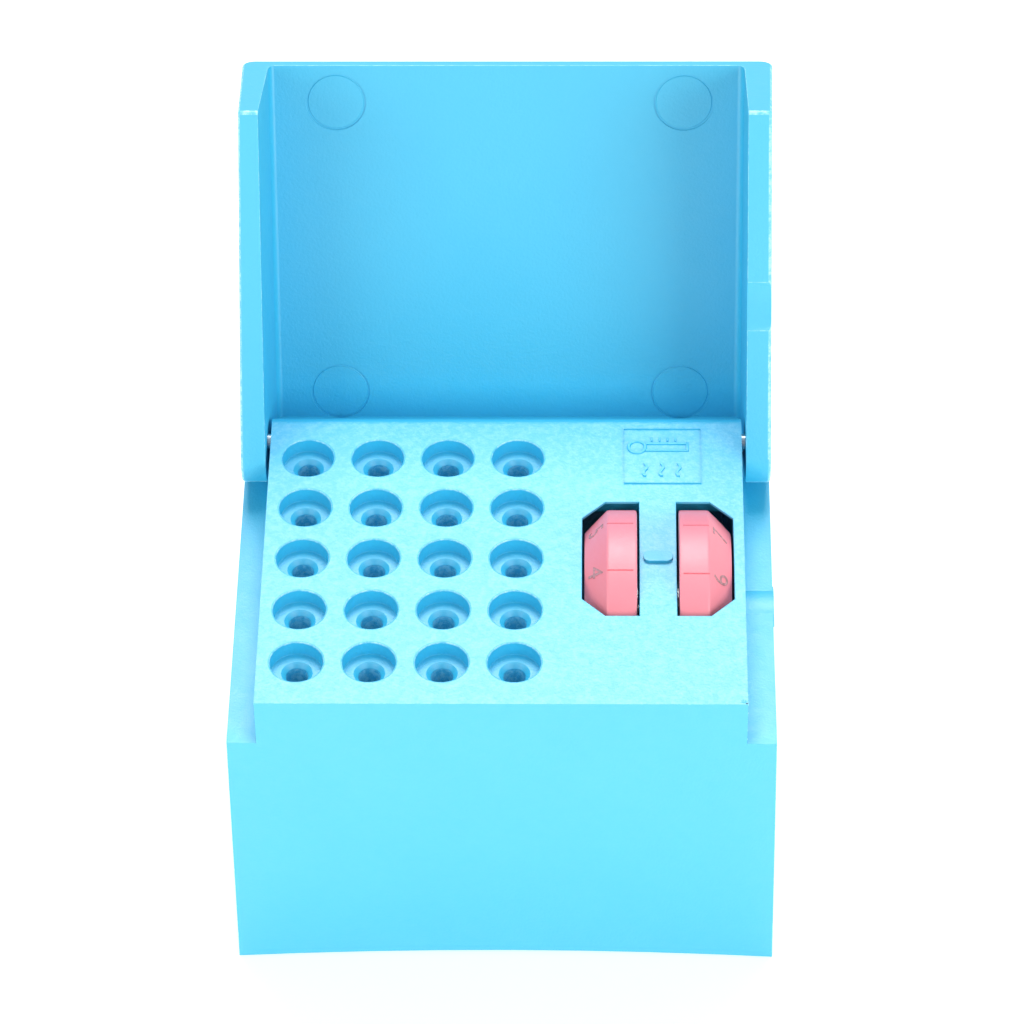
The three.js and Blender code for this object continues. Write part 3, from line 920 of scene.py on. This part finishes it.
    def frame_ring(self, side, line, rise):
        """A square raised line."""
        bm = bmesh.new()
        half = side / 2
        outline = [(-half, -half), (half, -half), (half, half), (-half, half)]
        face = bm.faces.new([bm.verts.new((x, y, -MARK_ROOT)) for x, y in outline])
        ring = bmesh.ops.inset_region(
            bm, faces=[face], thickness=line, use_even_offset=True, use_boundary=True
        )
        bmesh.ops.delete(bm, geom=[face], context="FACES_ONLY")
        pushed = bmesh.ops.extrude_face_region(bm, geom=ring["faces"])
        bmesh.ops.translate(bm, vec=(0, 0, rise + MARK_ROOT), verts=moved_corners(pushed))
        bmesh.ops.recalc_face_normals(bm, faces=bm.faces)
        upper = set(edges_where(bm, lambda p: near(p.z, rise)))
        rim = [edge for edge in sharp_edges(bm, 40) if edge in upper]
        soften(bm, rim, 0.06, 2)
        return bm

    def wave(self, x, y, length, swing, line, rise):
        """An upright wavy raised line."""
        bm = bmesh.new()
        bmesh.ops.create_grid(bm, x_segments=1, y_segments=16, size=0.5)
        bmesh.ops.scale(bm, vec=(line, length, 1), verts=bm.verts)
        for vert in bm.verts:
            vert.co.x += swing / 2 * math.sin(vert.co.y / length * math.tau)
        pushed = bmesh.ops.extrude_face_region(bm, geom=bm.faces[:])
        bmesh.ops.translate(bm, vec=(0, 0, rise + MARK_ROOT), verts=moved_corners(pushed))
        bmesh.ops.translate(bm, vec=(x, y, -MARK_ROOT), verts=bm.verts)
        bmesh.ops.recalc_face_normals(bm, faces=bm.faces)
        return bm


class BLOCK_OT_lid(bpy.types.Operator):
    """Builds the flip lid, standing open against its stop"""

    bl_idname = "object.block_lid"
    bl_label = "Lid"

    rim = -4.9
    top = 11.5
    front = -42.3
    back = 3.7
    shoulder_radius = 1.3
    back_top_radius = 1.8
    rear_wall = 2.5
    stop_gap = 0.15
    notch_depth = 0.38
    notch_half_length = 3.0
    notch_y = -18.9
    # How far each side wall leans in at the free end: outside at the plate and at the rim.
    left_lean = (0.4, 0.9)
    right_lean = (0.0, 0.5)
    # How much thicker each wall is at the plate, and how far both lean in inside at the rim.
    left_thicker = 0.8
    right_thicker = 0.5
    inner_lean = 0.27
    ejector_marks = ((-19.3, -37.9), (20.25, -37.85), (-19.5, -2.0), (20.1, -1.95))

    def execute(self, context):
        lid = context.scene.block_lid
        base = context.scene.block_base
        self.half = base.half_width * MM
        self.inner = self.half - lid.wall * MM
        self.ceiling = self.top - lid.plate * MM
        shell = combine(self.outside(lid), self.hollow(lid), "DIFFERENCE")
        soften(shell, self.open_edges(shell), 0.3, 3)
        shell = combine(shell, self.cutters(), "DIFFERENCE")
        self.draw_in(shell)
        turn = Matrix.Rotation(-lid.open_angle, 4, "X")
        bmesh.ops.transform(shell, matrix=turn, verts=shell.verts)
        bmesh.ops.translate(shell, vec=(0, PIN_Y, PIN_Z), verts=shell.verts)
        finish_piece("lid_shell", shell, shell_plastic(), "lid", ["lid"])
        return {"FINISHED"}

    def outside(self, lid):
        """The outer form, drawn shut about the pin, with its lower back corners round."""
        radius = -self.rim
        meets = math.acos(self.back / radius)
        arc = [
            (radius * math.cos(angle), -radius * math.sin(angle))
            for angle in (math.pi / 2 + (meets - math.pi / 2) * i / 6 for i in range(7))
        ]
        outline = [(self.front, self.rim)] + arc + [(self.back, self.top), (self.front, self.top)]
        bm = prism(outline, "X", -self.half, self.half)
        shoulders = [
            edge
            for edge in edges_where(bm, lambda p: near(p.z, self.top))
            if abs(edge.verts[0].co.y - edge.verts[1].co.y) > 20
        ]
        soften(bm, shoulders, self.shoulder_radius, 6)
        back_top = [
            edge
            for edge in edges_where(bm, lambda p: near(p.y, self.back) and near(p.z, self.top))
            if edge.calc_length() > 20
        ]
        soften(bm, back_top, self.back_top_radius, 8)
        soften(bm, sharp_edges(bm, 40), lid.edge_radius * MM, 4, clamp=False)
        return bm

    def hollow(self, lid):
        """The room inside, which runs out at the front, with rounded inner corners."""
        reach = self.back + self.stop_gap
        beyond = self.back + 1.0
        wall_face = self.back - self.rear_wall
        slope = lid.open_angle

        def stop(y):
            """Where the rear wall's lower face meets the base's back when the lid stands open."""
            return (reach - y * math.cos(slope)) / math.sin(slope)

        outline = [
            (self.front - 1, self.rim - 1),
            (beyond, self.rim - 1),
            (beyond, stop(beyond)),
            (wall_face, stop(wall_face)),
            (wall_face, self.ceiling),
            (self.front - 1, self.ceiling),
        ]
        bm = prism(outline, "X", -self.inner, self.inner)
        corners = edges_where(bm, lambda p: near(p.z, self.ceiling))
        sides = [edge for edge in corners if abs(edge.verts[0].co.x - edge.verts[1].co.x) < 0.01]
        soften(bm, sides, lid.corner_fillet * MM, 5)
        return bm

    def draw_in(self, bm):
        """Leans the side walls in towards the free end, and thickens them towards the plate."""
        for vert in bm.verts:
            along = min(1.0, max(0.0, vert.co.y / self.front))
            down = min(1.0, max(0.0, (self.top - vert.co.z) / (self.top - self.rim)))
            side = math.copysign(1.0, vert.co.x)
            across = (abs(vert.co.x) - self.inner) / (self.half - self.inner)
            at_plate, at_rim = self.left_lean if side < 0 else self.right_lean
            thicker = self.left_thicker if side < 0 else self.right_thicker
            outer = along * (at_plate + (at_rim - at_plate) * down)
            inner = thicker * max(0.0, 1.0 - down / 0.5) + self.inner_lean * down * along
            if across > 0:
                vert.co.x -= side * (inner + (outer - inner) * min(1.0, across))
            else:
                vert.co.x -= side * inner * max(0.0, 1.0 + across * 2.0)

    def open_edges(self, bm):
        """The sharp inner edges of the rim and of the front end."""
        chosen = []
        for edge in sharp_edges(bm, 60):
            ends = [vert.co for vert in edge.verts]
            at_rim = all(near(p.z, self.rim, 0.05) for p in ends)
            along_wall = all(near(abs(p.x), self.inner, 0.05) for p in ends)
            at_front = all(near(p.y, self.front, 0.05) for p in ends)
            if (at_rim and along_wall) or at_front:
                chosen.append(edge)
        return chosen

    def cutters(self):
        """The pin hole, the snap notch in the right rim and the round ejector marks."""
        parts = [rod(0.99, "X", -self.half - 2, self.half + 2, 0, 0, 40)]
        depth = self.notch_depth
        radius = (self.notch_half_length**2 + depth**2) / (2 * depth)
        middle = self.rim + depth - radius
        parts.append(rod(radius, "X", self.inner - 1.5, self.half + 2, self.notch_y, middle, 128))
        for x, y in self.ejector_marks:
            rim = [(0, -0.5), (3.42, -0.5), (3.42, 0.13), (3.2, 0.13), (3.12, 0.04), (0, 0.04)]
            parts.append(turned(rim, "Z", (x, y, self.ceiling), 72))
        return gather(parts)


class BLOCK_OT_number_wheels(bpy.types.Operator):
    """Builds the two number wheels with their tick lines and numerals"""

    bl_idname = "object.block_number_wheels"
    bl_label = "Number Wheels"

    digits = 10
    tick_half_width = 0.085
    tick_depth = 0.13

    def execute(self, context):
        wheels = context.scene.block_wheels
        plastic = context.scene.block_plastic
        pink = moulded_plastic(
            "wheel_plastic",
            plastic.wheel_colour,
            plastic.wheel_tint,
            # The wheels' tint is also painted on their rounded edges as a highlight.
            plastic.wheel_tint,
            0.45,
            plastic.grain_size,
            plastic.grain_depth * 0.5,
            0.5,
        )
        ink = printed_numeral(plastic.numeral_colour)
        sides = (
            ("left", -1, LEFT_WHEEL_X, wheels.left_first_angle, 4),
            ("right", 1, RIGHT_WHEEL_X, wheels.right_first_angle, 6),
        )
        for name, side, centre, angle, first in sides:
            self.wheel(name, side, centre, angle, wheels, pink)
            self.numerals(name, side, centre, angle, first, wheels, ink)
        return {"FINISHED"}

    def wheel(self, name, side, centre, angle, wheels, pink):
        """One wheel, turned about the axle and cut with ten tick lines."""
        slope = wheels.slope * MM
        edge = 0.12
        outline = [
            (1.09, 1.2),
            (3.2, 1.2),
            (3.2, 0.1),
            (3.3, 0.0),
            (WHEEL_RADIUS - slope - edge, 0.0),
            (WHEEL_RADIUS - slope - 0.02, 0.03),
            (WHEEL_RADIUS - slope + edge, edge + 0.02),
            (WHEEL_RADIUS - edge, slope - edge - 0.03),
            (WHEEL_RADIUS - 0.02, slope + 0.02),
            (WHEEL_RADIUS, slope + 2 * edge),
            (WHEEL_RADIUS, WHEEL_WIDTH - 0.3),
            (WHEEL_RADIUS - 0.07, WHEEL_WIDTH - 0.07),
            (WHEEL_RADIUS - 0.3, WHEEL_WIDTH),
            (4.3, WHEEL_WIDTH),
            (4.2, WHEEL_WIDTH - 0.1),
            (4.2, WHEEL_WIDTH - 1.3),
            (1.09, WHEEL_WIDTH - 1.3),
        ]
        outer_face = centre + side * WHEEL_WIDTH / 2
        drawn = [(radius, -side * along) for radius, along in outline]
        bm = turned(drawn, "X", (outer_face, WHEEL_Y, WHEEL_Z), 180)
        grooves = []
        inner_end = outer_face - side * (WHEEL_WIDTH - 0.45)
        outer_end = outer_face - side * (slope - 0.05)
        start, end = sorted((inner_end, outer_end))
        for i in range(self.digits):
            low = (start, -self.tick_half_width, WHEEL_RADIUS - self.tick_depth)
            groove = block(low, (end, self.tick_half_width, WHEEL_RADIUS + 1))
            self.set_round(groove, angle + math.tau * i / self.digits)
            grooves.append(groove)
        bm = combine(bm, gather(grooves), "DIFFERENCE")
        finish_piece(
            "number_wheel_" + name,
            bm,
            pink,
            name + "_wheel",
            ["counter_wheel_" + name],
        )

    def set_round(self, bm, angle):
        """Turns a part drawn over the axle's line to an angle, and sets it on the axle."""
        turn = Matrix.Rotation(-angle, 4, "X")
        bmesh.ops.transform(bm, matrix=turn, verts=bm.verts)
        bmesh.ops.translate(bm, vec=(0, WHEEL_Y, WHEEL_Z), verts=bm.verts)

    def numerals(self, name, side, centre, angle, first, wheels, ink):
        """The ten numerals on the slope, their tops towards the web between the wheels."""
        slope = wheels.slope * MM
        outer_face = centre + side * WHEEL_WIDTH / 2
        mid = slope / 2
        place = (outer_face - side * mid, 0, WHEEL_RADIUS - slope + mid)
        lie = Matrix(((0, -side, 0, 0), (side, 0, 0, 0), (0, 0, 1, 0), (0, 0, 0, 1)))
        tilt = Matrix.Rotation(side * math.pi / 4, 4, "Y")
        drift = math.radians(1.9 if side < 0 else -0.9)
        parts = []
        for i in range(self.digits):
            glyph = self.glyph(str((first + i) % self.digits), wheels.numeral_height * MM)
            bmesh.ops.transform(glyph, matrix=lie, verts=glyph.verts)
            bmesh.ops.transform(glyph, matrix=tilt, verts=glyph.verts)
            bmesh.ops.translate(glyph, vec=place, verts=glyph.verts)
            self.set_round(glyph, angle + drift + math.tau * i / self.digits)
            parts.append(glyph)
        finish_piece("numerals_" + name, gather(parts), ink, name + "_wheel")

    def glyph(self, text, height):
        """One numeral as a thin solid, centred, upright along Y."""
        curve = bpy.data.curves.new("numeral", "FONT")
        curve.body = text
        curve.size = 1.0
        curve.extrude = 0.012
        curve.resolution_u = 4
        thing = bpy.data.objects.new("numeral", curve)
        bpy.context.scene.collection.objects.link(thing)
        graph = bpy.context.evaluated_depsgraph_get()
        mesh = bpy.data.meshes.new_from_object(thing.evaluated_get(graph))
        bm = bmesh.new()
        bm.from_mesh(mesh)
        bpy.data.objects.remove(thing)
        bpy.data.curves.remove(curve)
        bpy.data.meshes.remove(mesh)
        bmesh.ops.remove_doubles(bm, verts=bm.verts, dist=TOUCHING)
        xs = [vert.co.x for vert in bm.verts]
        ys = [vert.co.y for vert in bm.verts]
        middle = Vector(((min(xs) + max(xs)) / 2, (min(ys) + max(ys)) / 2, 0))
        bmesh.ops.translate(bm, vec=-middle, verts=bm.verts)
        scale = height / (max(ys) - min(ys))
        bmesh.ops.scale(bm, vec=(scale * 0.9, scale, scale), verts=bm.verts)
        return bm


class BLOCK_OT_fittings(bpy.types.Operator):
    """Finishes the bottom cover and the steel pins, axle, washers and retainers"""

    bl_idname = "object.block_fittings"
    bl_label = "Fittings"

    def execute(self, context):
        steel = drawn_steel(context.scene.block_plastic.steel_colour)
        self.coat("wheel_axle", steel)
        for pair in ("hinge_pin", "spring_washer", "axle_retainer"):
            self.coat(pair + "_left", steel)
            self.coat(pair + "_right", steel)
        self.coat("bottom_cover", shell_plastic())
        return {"FINISHED"}

    def coat(self, name, material):
        """Gives a CAD node its finish."""
        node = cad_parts[name]
        for slot in node.material_slots:
            slot.material = material
        if not node.material_slots:
            raise RuntimeError(name + " has no material slot")


class BLOCK_PT_pieces(bpy.types.Panel):
    """Lists the steps that build the block"""

    bl_idname = "BLOCK_PT_pieces"
    bl_label = "Instrument Block"
    bl_space_type = "VIEW_3D"
    bl_region_type = "UI"
    bl_category = "Block"

    def draw(self, context):
        for operator in OPERATORS:
            self.layout.operator(operator.bl_idname)


OPERATORS = (
    BLOCK_OT_stage,
    BLOCK_OT_base,
    BLOCK_OT_lid,
    BLOCK_OT_number_wheels,
    BLOCK_OT_fittings,
)
SETTINGS = {
    "block_stage": StageSettings,
    "block_plastic": PlasticSettings,
    "block_base": BaseSettings,
    "block_lid": LidSettings,
    "block_wheels": WheelSettings,
}


def register():
    for name, group in SETTINGS.items():
        bpy.utils.register_class(group)
        setattr(bpy.types.Scene, name, bpy.props.PointerProperty(type=group))
    for thing in OPERATORS + (BLOCK_PT_pieces,):
        bpy.utils.register_class(thing)


def unregister():
    for thing in reversed(OPERATORS + (BLOCK_PT_pieces,)):
        bpy.utils.unregister_class(thing)
    for name, group in reversed(SETTINGS.items()):
        delattr(bpy.types.Scene, name)
        bpy.utils.unregister_class(group)


def main():
    register()
    bpy.ops.object.block_stage()
    bpy.ops.object.block_base()
    bpy.ops.object.block_lid()
    bpy.ops.object.block_number_wheels()
    bpy.ops.object.block_fittings()


if __name__ == "__main__":
    main()
